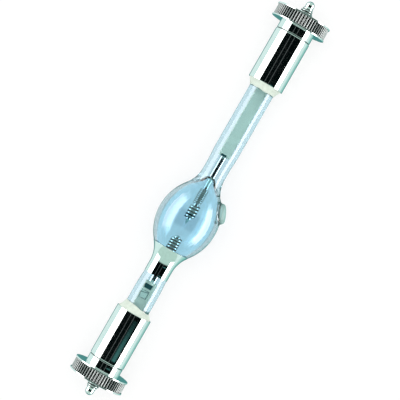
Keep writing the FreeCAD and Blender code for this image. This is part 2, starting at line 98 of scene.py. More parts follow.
def count(name, default, description):
    return IntProperty(name=name, description=description, default=default, min=1)


def colour(name, default, description):
    return FloatVectorProperty(
        name=name, description=description, default=default, size=3, min=0.0, max=1.0, subtype="COLOR"
    )


class LampGlass(bpy.types.PropertyGroup):
    """Sizes of the quartz envelope and its mirror coat."""

    bulb_radius: length("Bulb radius", 12.9, "Greatest outside radius of the bulb")
    bulb_arc: length("Bulb arc", 21.4, "Radius of the bulb's side, seen from beside the lamp")
    bulb_drop: length("Bulb drop", 10.2, "From the lamp's middle down to the bulb's centre")
    wall: length("Wall", 2.2, "Quartz wall at the bulb's equator")
    neck_radius: length("Neck radius", 5.1, "Outside radius of the necks beside the bulb")
    neck_blend: length("Neck blend", 13.0, "Radius of the hollow blend from bulb to neck")
    neck_reach: length("Neck reach", 26.5, "From the bulb's centre to the end of each neck")
    stem_radius: length("Stem radius", 5.4, "Outside radius of the stems")
    stem_reach: length("Stem reach", 32.0, "From the bulb's centre to where the stems are full width")
    stem_end: length("Stem end", 66.0, "From the lamp's middle to the end of each stem")
    cavity_arc: length("Cavity arc", 22.95, "Radius of the cavity's side")
    shoulder_radius: length("Shoulder radius", 5.6, "Radius at each end of the cavity's arc")
    mouth_radius: length("Mouth radius", 2.5, "Radius where each shoulder runs into its mouth")
    mouth_reach: length("Mouth reach", 18.1, "From the bulb's centre to each mouth")
    mouth_taper: length("Mouth taper", 1.9, "Length over which each mouth closes on its rod")
    stub_radius: length("Stub radius", 4.2, "Radius of the tipped-off exhaust stub")
    stub_height: length("Stub height", 1.8, "How far the stub stands off the bulb")
    stub_root: length("Stub root", 1.6, "How deep the stub is fused into the wall")
    stub_round: length("Stub rounding", 0.9, "Rounding of the stub's outer edge")
    stub_fillet: length("Stub fillet", 1.3, "Width over which the stub flows into the bulb")
    stub_dome: length("Stub dome", 0.35, "How much lower the stub's face is at its edge")
    stub_angle: angle("Stub angle", 25.2, "Angle of the stub above the bulb's equator")
    stub_turn: angle("Stub turn", 10.0, "Turn of the stub about the lamp, towards the front")
    coat_start: length("Coat start", 13.6, "From the bulb's centre to the coat's wide edge")
    coat_length: length("Coat length", 12.5, "Length of the coat along the lamp")
    coat_thickness: length("Coat thickness", 0.12, "Thickness of the mirror coat")


class LampElectrodes(bpy.types.PropertyGroup):
    """Sizes of the rods, their windings and the mercury."""

    upper_tip: length("Upper tip", 11.7, "From the lamp's middle down to the upper tip")
    lower_tip: length("Lower tip", 17.1, "From the lamp's middle down to the lower tip")
    upper_radius: length("Upper rod radius", 1.1, "Radius of the upper rod")
    lower_radius: length("Lower rod radius", 1.35, "Radius of the lower rod")
    upper_length: length("Upper rod length", 31.5, "Upper rod, from its tip to the foil's edge")
    lower_length: length("Lower rod length", 22.4, "Lower rod, from its tip to the foil's edge")
    upper_point: length("Upper point", 2.1, "Length of the cone at the upper tip")
    lower_point: length("Lower point", 0.6, "Length of the cone at the lower tip")
    upper_flat: length("Upper flat", 0.2, "Radius of the flat at the upper tip")
    lower_flat: length("Lower flat", 0.8, "Radius of the flat at the lower tip")
    lap: length("Lap", 4.6, "How far each rod laps over its foil")
    head_wire: length("Head wire", 1.25, "Wire of the upper head coil")
    head_turns: count("Head turns", 4, "Turns of the upper head coil")
    shank_wire: length("Shank wire", 0.76, "Wire of the upper shank coil")
    shank_turns: count("Shank turns", 9, "Turns of the upper shank coil")
    lower_wire: length("Lower wire", 1.15, "Wire of the lower head coil")
    lower_turns: count("Lower turns", 6, "Turns of the lower head coil")
    turn_gap: length("Turn gap", 0.03, "Gap between neighbouring turns")
    bead_radius: length("Bead radius", 0.8, "Drop of mercury")


class LampCaps(bpy.types.PropertyGroup):
    """Sizes of the cap shells, the cement and the studs."""

    edge: length("Cap edge", 54.0, "From the lamp's middle to each shell's inner edge")
    shell_radius: length("Shell radius", 7.75, "Outside radius of the cap shells")
    shell_length: length("Shell length", 22.7, "Length of the cap shells")
    shell_wall: length("Shell wall", 0.45, "Side wall of the shells")
    shell_end: length("Shell end", 1.6, "End wall of the shells")
    shell_corner: length("Shell corner", 0.4, "Rounding of the shell's outer corner")
    cement_cone: length("Cement cone", 2.6, "Cement that shows between shell and stem")
    cement_depth: length("Cement depth", 9.0, "Cement inside the shell")
    stud_radius: length("Stud radius", 3.0, "Crests of the stud's thread")
    thread_pitch: length("Thread pitch", 1.0, "Pitch of the stud's thread")
    thread_depth: length("Thread depth", 0.6, "Depth of the stud's thread")
    flange_radius: length("Flange radius", 5.8, "Flange that holds the stud in its shell")
    flange: length("Flange", 1.5, "Thickness of that flange")
    stud_stand: length("Stud stand", 1.2, "Full-width stud that stands out of the nut")
    stud_cone: length("Stud cone", 2.6, "Cone from the stud to its pin")
    pin_radius: length("Pin radius", 1.8, "Round-nosed pin at the stud's end")
    pin_length: length("Pin length", 0.95, "Straight part of that pin")


class LampNuts(bpy.types.PropertyGroup):
    """Sizes of the thumb nuts."""

    gap: length("Running gap", 0.05, "Gap round the stud in the nut")
    hub_radius: length("Hub radius", 7.6, "Radius of the hub")
    hub_length: length("Hub length", 3.8, "Length of the hub")
    hub_chamfer: length("Hub chamfer", 0.35, "Chamfer where the hub seats on the shell")
    head_length: length("Head length", 5.7, "Thickness of the nut's head")
    rim_radius: length("Rim radius", 12.0, "Radius of the two thin rims")
    rim: length("Rim", 0.6, "Thickness of each rim")
    knurl_radius: length("Knurl radius", 11.65, "Crests of the knurl between the rims")
    knurl_depth: length("Knurl depth", 0.55, "Depth of the knurl's grooves")
    knurl_width: length("Knurl width", 0.62, "Width of each groove at its mouth")
    knurl_roof: length("Knurl roof", 0.1, "How far each tooth of the knurl slopes from its crest")
    knurl_count: count("Knurl count", 60, "Grooves round each nut")


class LampColours(bpy.types.PropertyGroup):
    """Colours of the lamp's finishes and of its surroundings."""

    quartz: colour("Quartz", (0.615, 0.835, 0.935), "Pale blue cast of the quartz")
    milky: colour("Milky stub", (0.55, 0.86, 0.80), "Clouded skin of the tipped-off stub")
    mirror: colour("Mirror coat", (0.86, 0.94, 0.92), "Bright reflecting coat")
    nickel: colour("Nickel", (0.90, 0.94, 0.93), "Bright nickel plate")
    tungsten: colour("Tungsten", (0.80, 0.83, 0.83), "Drawn tungsten rod")
    wire: colour("Tungsten wire", (0.96, 0.98, 0.97), "Wound tungsten wire")
    foil: colour("Foil", (0.95, 1.0, 0.86), "Rolled molybdenum ribbon")
    # Painted shade: the near black that stands for the shade between coil turns, in thread roots, in the knurl's
    # grooves and in the gap at each nut's seat.
    crevice: colour("Crevice", (0.012, 0.016, 0.016), "Blackened metal between turns and in grooves")
    tab: colour("Weld tab", (0.02, 0.10, 0.10), "Dull weld tab")
    patch: colour("Patch", (0.86, 0.98, 0.86), "Patched end of the lower foil")
    cement: colour("Cement", (0.72, 0.81, 0.71), "Cream ceramic cement")
    mercury: colour("Mercury", (0.80, 0.81, 0.82), "Liquid metal")
    dark: colour("Dark side", (0.0, 0.002, 0.002), "Unlit room behind the camera")
    soft: colour("Softbox", (1.0, 1.0, 0.99), "Lit screens beside the lamp")
    pale: colour("Pale side", (0.50, 0.69, 0.62), "Walls beyond the ends of the screens")
    deep: colour("Doorway", (0.10, 0.35, 0.33), "Dim teal doorway in the dark room")
    horizon: colour("Horizon", (0.02, 0.12, 0.11), "Dark rim that the edges of the glass show")
    # Painted reflection: teal floor that only the glass shows, where the real floor is white.
    rim: colour("Floor beside the lamp", (0.22, 0.62, 0.68), "Floor that the edges of the glass show")
    # Painted shadow: the lamp's shadow on the floor as metal shows it, glowing dark teal; through the glass the
    # far floor takes it too.
    painted_floor_shade: colour("Floor under the lamp", (0.08, 0.27, 0.26), "Shaded floor as polished metal shows it")
    # Painted reflection: teal on the stub's side of the floor, shown only in metal.
    painted_right_reflection: colour("Floor on the right", (0.26, 0.58, 0.52), "Floor on the stub's side, in metal")
    # Painted reflection: pale teal of the open floor, shown only in metal.
    floor_far: colour("Floor beyond", (0.72, 0.90, 0.87), "Open floor as polished metal shows it")


class LampStage(bpy.types.PropertyGroup):
    """The camera as the photograph was taken, and the light."""

    focal_pixels: number("Focal length in pixels", 1793.0, "Focal length on the photograph's width")
    distance: length("Camera distance", 735.6871, "From the lamp's middle to the camera")
    tilt: angle("Camera tilt", 0.8, "How far the camera leans towards the upper end")
    roll: angle("Camera roll", 29.8208, "Turn of the picture about the line of sight")
    right: number("Shift to the right", 0.1222 * MM, "Camera's place across its view", unit="LENGTH")
    up: number("Shift upwards", -0.5559 * MM, "Camera's place up its view", unit="LENGTH")
    left_light: number("Left screen", 3.6, "Brightness of the left screen")
    right_light: number("Right screen", 6.0, "Brightness of the right screen")
    soft_light: number("Soft light", 1.0, "Even light on dull surfaces")
    lamp_power: number("Overhead power", 1.5, "Wide lamp above the floor", subtype="POWER")


def mm(group, names):
    """Sizes of a property group in millimetres: one number for one name, and a list for several."""
    values = [getattr(group, name) / MM for name in names.split()]
    return values if len(values) > 1 else values[0]


def along(z, faces_down=False):
    """A place on the lamp's axis. One that faces down has its own z axis towards the lower end."""
    place = Matrix.Translation((0, 0, z))
    return place @ Matrix.Rotation(math.pi, 4, "X") if faces_down else place


def cap_place(end):
    """The edge of one cap, its z axis pointing outwards."""
    edge = mm(bpy.context.scene.lamp_caps, "edge")
    return along(edge if end == "upper" else -edge, end == "lower")


def tip_place(end):
    """One electrode's tip, its z axis pointing along the rod to its foil."""
    group = bpy.context.scene.lamp_electrodes
    return along(-mm(group, f"{end}_tip"), end == "lower")


class Section:
    """Half the section of a turned piece, drawn as one wire: x is the radius and z the height."""

    def __init__(self, bm, radius, height):
        self.bm = bm
        self.first = self.last = bm.verts.new((radius, 0, height))
        self.corners = {}

    def line(self, radius, height, runs=1, rounding=0.0):
        """A straight run to a point, which may be rounded once the wire is closed."""
        start = self.last.co.copy()
        end = Vector((radius, 0, height))
        for run in range(1, runs + 1):
            self.last = bmesh.ops.extrude_vert_indiv(self.bm, verts=[self.last])["verts"][0]
            self.last.co = start.lerp(end, run / runs)
        if rounding:
            self.corners.setdefault(rounding, []).append(self.last)
        return self

    def arc(self, radius, height, bend, runs):
        """The shorter arc to a point. A positive bend turns left, and a negative one right."""
        start = self.last.co.copy()
        end = Vector((radius, 0, height))
        chord = end - start
        left = Vector((-chord.z, 0, chord.x)).normalized()
        rise = math.sqrt(max(bend * bend - chord.length_squared / 4, 0.0))
        centre = (start + end) / 2 + left * math.copysign(rise, bend)
        swept = 2 * math.asin(min(1.0, chord.length / 2 / abs(bend)))
        swept = math.copysign(swept, bend)
        spun = bmesh.ops.spin(
            self.bm, geom=[self.last], cent=centre, axis=(0, -1, 0), angle=swept, steps=runs
        )
        self.last = next(item for item in spun["geom_last"] if isinstance(item, bmesh.types.BMVert))
        self.last.co = end
        return self

    def close(self):
        """Joins the wire's ends, unless both are on the axis, and rounds its corners."""
        if self.first.co.x > 0 or self.last.co.x > 0:
            self.bm.edges.new((self.last, self.first))
        for radius, corners in self.corners.items():
            bmesh.ops.bevel(
                self.bm, geom=corners, offset=radius, offset_type="OFFSET",
                affect="VERTICES", segments=4, profile=0.5, material=-1,
            )
        return self.bm


def lathe(bm, steps):
    """Turns a closed section about the axis into a closed piece whose faces point outwards."""
    section = bm.verts[:] + bm.edges[:]
    bmesh.ops.spin(bm, geom=section, cent=(0, 0, 0), axis=(0, 0, 1), angle=TURN, steps=steps, use_merge=True)
    bmesh.ops.remove_doubles(bm, verts=bm.verts, dist=1e-4)
    bmesh.ops.recalc_face_normals(bm, faces=bm.faces)
    return bm


def add_to(bm, other):
    """Puts the second mesh into the first."""
    carrier = bpy.data.meshes.new("carrier")
    other.to_mesh(carrier)
    other.free()
    bm.from_mesh(carrier)
    bpy.data.meshes.remove(carrier)
    return bm


def settle(name, bm, finish, place=None, sharp=35, body="lamp"):
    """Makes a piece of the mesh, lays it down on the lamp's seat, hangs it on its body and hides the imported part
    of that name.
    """
    bm.transform(LAMP @ Matrix.Diagonal((MM, MM, MM, 1)) @ (place or Matrix()))
    bm.normal_update()
    mesh = bpy.data.meshes.new(name)
    bm.to_mesh(mesh)
    bm.free()
    mesh.shade_smooth()
    mesh.set_sharp_from_angle(angle=math.radians(sharp))
    mesh.materials.append(finish)
    piece = bpy.data.objects.new(name, mesh)
    bpy.context.scene.collection.objects.link(piece)
    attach(piece, body)
    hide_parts(name)


def repaint(node, finish):
    """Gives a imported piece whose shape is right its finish."""
    for slot in frame["nodes"][node].material_slots:
        slot.material = finish


class Value:
    """A node's output, so that shader maths reads as Python."""

    def __init__(self, tree, socket):
        self.tree = tree
        self.socket = socket

    def maths(self, operation, *terms):
        return node(self.tree, "Math", {"operation": operation}, dict(enumerate(terms)))

    def __add__(self, other):
        return self.maths("ADD", self, other)

    __radd__ = __add__

    def __sub__(self, other):
        return self.maths("SUBTRACT", self, other)

    def __rsub__(self, other):
        return self.maths("SUBTRACT", other, self)

    def __mul__(self, other):
        return self.maths("MULTIPLY", self, other)

    __rmul__ = __mul__

    def __truediv__(self, other):
        return self.maths("DIVIDE", self, other)

    def over(self, edge):
        """1 where this is greater than the edge."""
        return self.maths("GREATER_THAN", self, edge)

    def higher(self, other):
        return self.maths("MAXIMUM", self, other)

    def size(self):
        return self.maths("ABSOLUTE", self)

    def ramp(self, low, high):
        """0 below the low edge and 1 above the high one, with an even slope between."""
        edges = {"Value": self, "From Min": low, "From Max": high}
        return node(self.tree, "MapRange", {"clamp": True}, edges)


def node(tree, kind, settings=None, inputs=None, output=0):
    """Adds a node. Its settings are set before the values or links of its sockets."""
    made = tree.nodes.new(f"ShaderNode{kind}")
    for key, setting in (settings or {}).items():
        setattr(made, key, setting)
    for key, value in (inputs or {}).items():
        if isinstance(value, Value):
            tree.links.new(value.socket, made.inputs[key])
        else:
            made.inputs[key].default_value = value
    return Value(tree, made.outputs[output])


def mix(tree, factor, first, second):
    """A colour between two colours."""
    colours = [(*c, 1) if isinstance(c, tuple) else c for c in (first, second)]
    return node(tree, "Mix", {"data_type": "RGBA"}, {0: factor, 6: colours[0], 7: colours[1]}, 2)


def blend(tree, factor, first, second):
    """A surface between two surfaces."""
    return node(tree, "MixShader", None, {0: factor, 1: first, 2: second})


def glow(tree, tint):
    return node(tree, "Emission", None, {"Color": tint, "Strength": 1.0})


def marked(tree, name):
    """The share that mark has written into the piece's vertices."""
    return node(tree, "Attribute", {"attribute_name": name}, None, "Fac")


def ray_is(tree, kind):
    """1 for a ray of that kind."""
    return node(tree, "LightPath", output=f"Is {kind} Ray")


def place_of(tree, stretch=(1, 1, 1), move=(0, 0, 0)):
    """Object coordinates, stretched for patterns that run along the lamp, or moved to a piece's centre."""
    spot = node(tree, "TexCoord", output="Object")
    return node(tree, "Mapping", None, {"Vector": spot, "Location": move, "Scale": stretch})


def noise(tree, spot, scale, detail=3.0, roughness=0.5):
    inputs = {"Vector": spot, "Scale": scale, "Detail": detail, "Roughness": roughness}
    return node(tree, "TexNoise", None, inputs)


def bump(tree, height, distance, strength):
    return node(tree, "Bump", None, {"Height": height, "Distance": distance, "Strength": strength})


def scaled(tint, share=0.86):
    """The same colour, darker, or brighter where the share is over 1."""
    return tuple(c * share for c in tint)


def new_finish(name):
    """An empty material and its tree."""
    finish = bpy.data.materials.new(name)
    finish.use_nodes = True
    finish.node_tree.nodes.clear()
    return finish, finish.node_tree


def close_finish(finish, shader):
    """Links the shader to the material's output and gives the finished material back."""
    output = finish.node_tree.nodes.new("ShaderNodeOutputMaterial")
    finish.node_tree.links.new(shader.socket, output.inputs["Surface"])
    return finish


def principled(tree, **sockets):
    """The surface shader. A name's underscores stand for the spaces in its socket's name."""
    inputs = {key.replace("_", " "): value for key, value in sockets.items()}
    return node(tree, "BsdfPrincipled", None, inputs)


def tinted(name):
    return tuple(getattr(bpy.context.scene.lamp_colours, name))


def quartz_finish():
    """Clear fire-polished quartz with a pale blue cast, faint draw lines and a soft ripple."""
    finish, tree = new_finish("fused_quartz")
    draw_lines = noise(tree, place_of(tree, (0.04, 1, 1)), 900.0, 2.0)
    ripple = noise(tree, place_of(tree), 160.0, 1.0)
    surface = bump(tree, draw_lines * 0.15 + ripple, 0.00002, 0.08)
    glass = principled(
        tree,
        Base_Color=mix(tree, ripple, scaled(tinted("quartz"), 0.985), tinted("quartz")),
        Roughness=0.0,
        IOR=1.458,
        Transmission_Weight=1.0,
        Normal=surface,
        Coat_Weight=0.28,
        Coat_IOR=2.0,
        Coat_Roughness=0.02,
    )
    shade = node(tree, "BsdfTransparent", None, {"Color": (*tinted("quartz"), 1)})
    cloud = node(tree, "BsdfDiffuse", None, {"Color": (*tinted("milky"), 1)})
    body = blend(tree, marked(tree, "milky") * 0.5, glass, cloud)
    return close_finish(finish, blend(tree, ray_is(tree, "Shadow"), body, shade))


def metal_finish(name, tint, rough, grain, scale, depth, smudge=0.04, metallic=1.0):
    """Worked metal: a grain that is stretched along the lamp or round it, smudges and fine wear, and painted
    shade, near black and rougher, wherever the piece marks its grooves.
    """
    finish, tree = new_finish(name)
    lines = noise(tree, place_of(tree, grain), scale, 3.0, 0.6)
    cloud = noise(tree, place_of(tree), 260.0, 4.0, 0.55)
    wear = cloud.ramp(0.45, 0.7)
    # Painted shade: the marked share darkens the colour towards near black and makes the metal rougher.
    crevice = marked(tree, "crevice")
    matt_and_shade = crevice.ramp(0.0, 0.3)
    skin = mix(tree, wear * 0.5, tint, scaled(tint))
    skin = mix(tree, matt_and_shade * 0.62, skin, tinted("crevice"))
    metal = principled(
        tree,
        Base_Color=mix(tree, crevice.ramp(0.35, 0.9), skin, tinted("crevice")),
        Metallic=metallic,
        Roughness=rough + wear * smudge + lines * smudge * 0.5 + matt_and_shade * 0.3,
        Normal=bump(tree, lines, depth, 0.5),
    )
    return close_finish(finish, metal)


def patch_finish():
    """The patched end of the lower foil, with a darker seam round it and a dark slanted line across its top."""
    finish, tree = new_finish("patch_mark")
    low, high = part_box("lower_patch")
    half = (high - low) / 2
    spot = place_of(tree, move=tuple(-(low + high) / 2))
    lengthwise = node(tree, "SeparateXYZ", None, {"Vector": spot}, "X") / half.x
    sideways = node(tree, "SeparateXYZ", None, {"Vector": spot}, "Y") / half.y
    mottle = noise(tree, place_of(tree), 1500.0, 3.0, 0.6)
    seam = lengthwise.size().ramp(0.8, 0.93).higher(sideways.size().ramp(0.72, 0.9)) * mottle.ramp(0.3, 0.5)
    dark_slant = 1 - (lengthwise + sideways * 0.22 - 0.55).size().ramp(0.05, 0.16)
    skin = mix(tree, mottle.ramp(0.4, 0.7) * 0.4, tinted("patch"), scaled(tinted("patch"), 0.7))
    body = principled(
        tree,
        Base_Color=mix(tree, seam.higher(dark_slant) * 0.85, skin, tinted("tab")),
        Roughness=0.5 + mottle * 0.2,
        Normal=bump(tree, mottle, 0.00003, 0.5),
    )
    return close_finish(finish, body)


def cement_finish():
    """Cream cement with a fine grain, lumps of lighter and darker tone, and small pores drawn in a darker colour.
    """
    finish, tree = new_finish("ceramic_cement")
    spot = place_of(tree)
    grain = noise(tree, spot, 2600.0, 4.0, 0.6)
    lumps = noise(tree, spot, 420.0, 2.0)
    pores = node(tree, "TexVoronoi", None, {"Vector": spot, "Scale": 900.0}).ramp(0.12, 0.26)
    dull = scaled(tinted("cement"))
    skin = mix(tree, lumps.ramp(0.35, 0.7), dull, tinted("cement"))
    body = principled(
        tree,
        Base_Color=mix(tree, pores, dull, skin),
        Roughness=0.78 + grain * 0.15,
        Normal=bump(tree, grain * 0.4 + lumps + pores * 0.6, 0.00012, 0.7),
    )
    return close_finish(finish, body)


def mirror_finish():
    """Bright coat with a faint mottle that makes it darker and rougher in places, and a soft ripple."""
    finish, tree = new_finish("mirror_coat_finish")
    spot = place_of(tree)
    mottle = noise(tree, spot, 900.0, 4.0, 0.6)
    tint = tinted("mirror")
    coat = principled(
        tree,
        Base_Color=mix(tree, mottle.ramp(0.4, 0.75) * 0.5, tint, scaled(tint, 0.85)),
        Metallic=1.0,
        Roughness=0.02 + mottle.ramp(0.5, 0.8) * 0.05,
        Normal=bump(tree, noise(tree, spot, 240.0, 1.0), 0.00003, 0.4),
    )
    return close_finish(finish, coat)


def liquid_finish():
    """Liquid metal with a faint film."""
    finish, tree = new_finish("mercury_drop")
    film = noise(tree, place_of(tree), 1500.0, 3.0)
    tint = tinted("mercury")
    drop = principled(
        tree,
        Base_Color=mix(tree, film.ramp(0.5, 0.8), tint, scaled(tint, 0.8)),
        Metallic=1.0,
        Roughness=0.02 + film.ramp(0.55, 0.8) * 0.1,
        Normal=bump(tree, film, 0.000005, 0.3),
    )
    return close_finish(finish, drop)


ALONG = (0.03, 1, 1)
AROUND = (1, 0.02, 0.02)
EVEN = (1, 1, 1)


def once(name, make, *arguments):
    """A finish that several pieces share is made the first time."""
    return bpy.data.materials.get(name) or make(*arguments)


def metal(name, *arguments):
    """A metal finish that several pieces share."""
    return once(name, metal_finish, name, *arguments)


def nickel():
    return metal("nickel_plate", tinted("nickel"), 0.05, AROUND, 5200.0, 0.000004)


def tungsten():
    return metal("tungsten_rod", tinted("tungsten"), 0.05, ALONG, 4200.0, 0.000003, 0.02)


def wire():
    return metal("tungsten_wire", tinted("wire"), 0.06, EVEN, 3600.0, 0.000003, 0.03)


class Stub:
    """The exhaust stub as a distance field, fused to the bulb's."""

    def __init__(self, glass):
        self.radius, self.rounding, self.fillet = mm(glass, "stub_radius stub_round stub_fillet")
        self.dome = mm(glass, "stub_dome")
        root, height, self.arc = mm(glass, "stub_root stub_height bulb_arc")
        self.top = root + height
        self.root = root
        self.centre = mm(glass, "bulb_radius") - self.arc
        self.drop = -mm(glass, "bulb_drop")
        base = self.arc - root
        turn = Matrix.Rotation(-glass.stub_turn, 3, "Z")
        rise = glass.stub_angle
        foot = (0, -(self.centre + base * math.cos(rise)), self.drop + base * math.sin(rise))
        self.foot = turn @ Vector(foot)
        self.out = turn @ Vector((0, -math.cos(rise), math.sin(rise)))
        self.side = turn @ Vector((1, 0, 0))
        self.reach = self.radius + 2.4 * self.fillet
        self.equator = self.foot.xy.length + root

    def distance(self, point):
        """How far a point is outside the fused glass."""
        bulb = math.hypot(point.xy.length - self.centre, point.z - self.drop) - self.arc
        arm = point - self.foot
        height = arm.dot(self.out)
        across = (arm - self.out * height).length
        top = self.top - self.dome * (across / self.radius) ** 2
        beyond = Vector((across - self.radius + self.rounding, height - top + self.rounding))
        outside = Vector((max(beyond.x, 0), max(beyond.y, 0))).length
        stub = outside + min(max(beyond), 0) - self.rounding
        near = max(self.fillet - abs(bulb - stub), 0) / self.fillet
        return min(bulb, stub) - near * near * self.fillet / 4

    def slope(self, point):
        step = 0.002
        steps = (Vector((step, 0, 0)), Vector((0, step, 0)), Vector((0, 0, step)))
        return Vector([(self.distance(point + s) - self.distance(point - s)) / (2 * step) for s in steps])

    def start(self, across, direction):
        """Where a vertex of the bulb begins: spread evenly over the stub's face, side and fillet."""
        flat = self.radius - self.rounding
        bend = self.rounding * math.pi / 2
        shoulder = self.top - self.dome - self.rounding
        wide = 1 / (direction.x**2 / self.equator + direction.y**2 / self.arc)
        edge = self.radius + self.fillet / 2
        low = self.root - edge * edge / (2 * wide)
        wall = math.hypot(edge - self.radius, shoulder - low)
        whole = flat + bend + wall + self.reach - edge
        run = across / self.reach * whole
        if run < flat:
            return run, self.top - self.dome * (run / self.radius) ** 2
        run -= flat
        if run < bend:
            turned = run / self.rounding
            return flat + self.rounding * math.sin(turned), shoulder + self.rounding * math.cos(turned)
        run -= bend
        if run < wall:
            part = run / wall
            return self.radius + (edge - self.radius) * part, shoulder + (low - shoulder) * part
        out = edge + run - wall
        return out, self.root - out * out / (2 * wide)

    def milky(self, at):
        """How clouded the glass is: wholly on the stub, where the flame sealed it, and clear beside it."""
        arm = at - self.foot
        height = arm.dot(self.out)
        across = (arm - self.out * height).length
        return (self.radius + 0.25 - across) * 3 if height > self.root * 0.8 else 0.0

    def press_out(self, bm):
        """Moves the bulb's vertices round the stub out to the fused surface."""
        up = self.out.cross(self.side)
        for vert in bm.verts:
            arm = vert.co - self.foot
            height = arm.dot(self.out)
            flat = arm - self.out * height
            across = flat.length
            if height < 0 or across > self.reach or across < 1e-6:
                continue
            direction = Vector((flat.dot(self.side), flat.dot(up))) / across
            far, high = self.start(across, direction)
            point = self.foot + self.out * high + (self.side * direction.x + up * direction.y) * far
            for _ in range(5):
                slope = self.slope(point)
                point -= slope * (self.distance(point) / max(slope.length_squared, 1e-6))
            vert.co = point


class LAMP_OT_quartz(bpy.types.Operator):
    """Blow the quartz envelope: bulb, necks, stems, cavity and the tipped-off stub"""

    bl_idname = "lamp.quartz"
    bl_label = "Quartz envelope"

    def execute(self, context):
        glass = context.scene.lamp_glass
        electrodes = context.scene.lamp_electrodes
        radius, arc, wall = mm(glass, "bulb_radius bulb_arc wall")
        neck, blend, stem = mm(glass, "neck_radius neck_blend stem_radius")
        neck_reach, stem_reach, end = mm(glass, "neck_reach stem_reach stem_end")
        bulb = -mm(glass, "bulb_drop")
        across = neck + blend - radius + arc
        reach = arc + blend
        neck_end = math.sqrt(reach * reach - across * across)
        side = radius - arc + arc / reach * across
        rise = arc / reach * neck_end

        section = Section(bmesh.new(), 0, -end)
        section.line(stem, -end, rounding=0.4).line(stem, bulb - stem_reach, 12)
        section.line(neck, bulb - neck_reach, 2).line(neck, bulb - neck_end, 2)
        section.arc(side, bulb - rise, -blend, 26).arc(side, bulb + rise, arc, 124)
        section.arc(neck, bulb + neck_end, -blend, 26).line(neck, bulb + neck_reach, 2)
        section.line(stem, bulb + stem_reach, 2).line(stem, end, 12, rounding=0.4).line(0, end)
        envelope = lathe(section.close(), 320)
        stub = Stub(glass)
        stub.press_out(envelope)
        mark(envelope, stub.milky, "milky")

        cavity_arc, shoulder = mm(glass, "cavity_arc shoulder_radius")
        mouth, mouth_reach, taper = mm(glass, "mouth_radius mouth_reach mouth_taper")
        depth = math.sqrt(cavity_arc**2 - (cavity_arc - radius + wall + shoulder) ** 2)
        closed = mouth_reach + taper
        lower, upper = mm(electrodes, "lower_radius upper_radius")
        hollow = Section(bmesh.new(), 0, bulb - closed)
        hollow.line(lower * 0.98, bulb - closed).line(mouth, bulb - mouth_reach, 2)
        hollow.line(shoulder, bulb - depth, 4).arc(shoulder, bulb + depth, cavity_arc, 72)
        hollow.line(mouth, bulb + mouth_reach, 4).line(upper * 0.98, bulb + closed, 2)
        hollow.line(0, bulb + closed)
        cavity = lathe(hollow.close(), 128)
        bmesh.ops.reverse_faces(cavity, faces=cavity.faces)
        settle("quartz_envelope", add_to(envelope, cavity), quartz_finish(), sharp=70)
        return {"FINISHED"}


class LAMP_OT_mirror_coat(bpy.types.Operator):
    """Lay the reflecting coat on the lower neck"""

    bl_idname = "lamp.mirror_coat"
    bl_label = "Mirror coat"

    def execute(self, context):
        glass = context.scene.lamp_glass
        radius, arc, neck, blend = mm(glass, "bulb_radius bulb_arc neck_radius neck_blend")
        start, long, thick = mm(glass, "coat_start coat_length coat_thickness")
        bulb = -mm(glass, "bulb_drop")
        across = neck + blend - radius + arc
        neck_end = math.sqrt((arc + blend) ** 2 - across**2)
        top = bulb - start
        low = bulb - neck_end
        skin = 0.012

        def flare(growth):
            return neck + blend - math.sqrt((blend - growth) ** 2 - (top - low) ** 2)

        section = Section(bmesh.new(), flare(skin), top)
        section.line(flare(thick), top, rounding=0.03).arc(neck + thick, low, blend - thick, 26)
        section.line(neck + thick, top - long, 4, rounding=0.03).line(neck + skin, top - long)
        section.line(neck + skin, low, 4).arc(flare(skin), top, -(blend - skin), 26)
        settle("mirror_coat", lathe(section.close(), 160), mirror_finish(), sharp=60)
        return {"FINISHED"}


class LAMP_OT_electrode_rods(bpy.types.Operator):
    """Turn the two tungsten rods, each ground flat where its foil is welded on"""

    bl_idname = "lamp.electrode_rods"
    bl_label = "Electrode rods"

    def execute(self, context):
        group = context.scene.lamp_electrodes
        for end in ENDS:
            names = f"{end}_radius {end}_length {end}_point {end}_flat lap"
            radius, whole, point, flat, lap = mm(group, names)
            section = Section(bmesh.new(), 0, 0)
            section.line(flat, 0, rounding=0.08).line(radius, point, rounding=0.12)
            section.line(radius, whole, 8, rounding=0.05).line(0, whole)
            rod = lathe(section.close(), 64)
            lapped = Section(bmesh.new(), 0, whole - 0.02)
            lapped.line(radius, whole - 0.02).line(radius, whole + lap, 2, rounding=0.1).line(0, whole + lap)
            half = lathe(lapped.close(), 64)
            cut = bmesh.ops.bisect_plane(
                half,
                geom=half.verts[:] + half.edges[:] + half.faces[:],
                plane_co=(0, 0, 0),
                plane_no=(-1, 0, 0),
                clear_outer=True,
            )
            edges = [item for item in cut["geom_cut"] if isinstance(item, bmesh.types.BMEdge)]
            bmesh.ops.contextual_create(half, geom=edges)
            bmesh.ops.recalc_face_normals(half, faces=half.faces)
            settle(f"{end}_electrode_rod", add_to(rod, half), tungsten(), tip_place(end))
        return {"FINISHED"}


def mark(bm, depth_of, name="crevice"):
    """Writes a share from 0 to 1 into each vertex: how deep in a groove it is, for the finish to darken as painted
    shade.
    """
    layer = bm.verts.layers.float.new(name)
    for vert in bm.verts:
        vert[layer] = min(1.0, max(0.0, depth_of(vert.co)))


